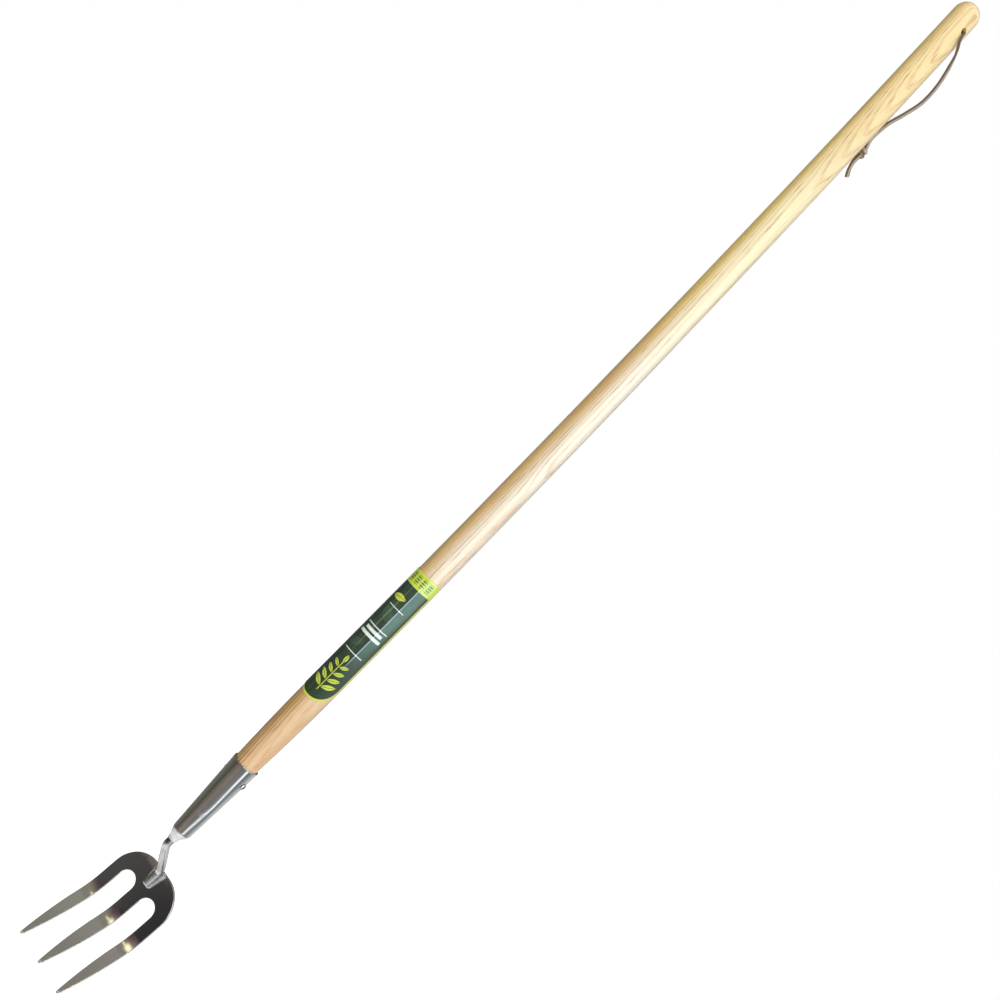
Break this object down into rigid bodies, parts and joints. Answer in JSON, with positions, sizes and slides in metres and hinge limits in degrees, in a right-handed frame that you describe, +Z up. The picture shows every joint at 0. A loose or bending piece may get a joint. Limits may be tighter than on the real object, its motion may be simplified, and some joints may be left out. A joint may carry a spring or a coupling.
{
  "type": "weeding fork",
  "caption": "Long-handled weeding fork: pressed steel tines on a swan neck, a riveted tapered socket, a wooden shaft with a wrap-around label and a hanging thong.",
  "frame": {"origin": "centre of the socket's mouth, on the axis of the socket, where a rack's spring clip holds the shaft", "axes": "+Z up the shaft to its butt, the head hanging down; -Y is the concave front of the head; X runs across the tines"},
  "size_m": [0.0828, 0.0588, 1.2522],
  "materials": {
    "ash": "pale ash, sanded and lacquered, grain along the shaft",
    "polished_steel": "stainless steel, mirror polished",
    "frosted_steel": "stainless steel, satin rod and ground, frosted welds",
    "label": "dark green printed film with a yellow-green border, semi-gloss",
    "leather": "brown suede lace"
  },
  "bodies": {
    "tool": {"handle_shaft": "ash", "socket": "polished_steel", "socket_rivet": "polished_steel", "neck_weld": "frosted_steel", "swan_neck": "frosted_steel", "head_weld": "frosted_steel", "fork_head": "polished_steel", "wrap_label": "label"},
    "thong": {"thong_hole_run": "leather", "thong_front_strand": "leather", "thong_back_strand": "leather", "thong_knot": "leather", "thong_tail_left": "leather", "thong_tail_right": "leather"}
  },
  "joints": [
    {"name": "thong_swing", "type": "hinge", "parent": "tool", "child": "thong", "pos_m": [-0.00208, -0.00103, 0.9599], "axis": [0.9205, -0.3907, 0], "range_deg": [0, 180]}
  ]
}
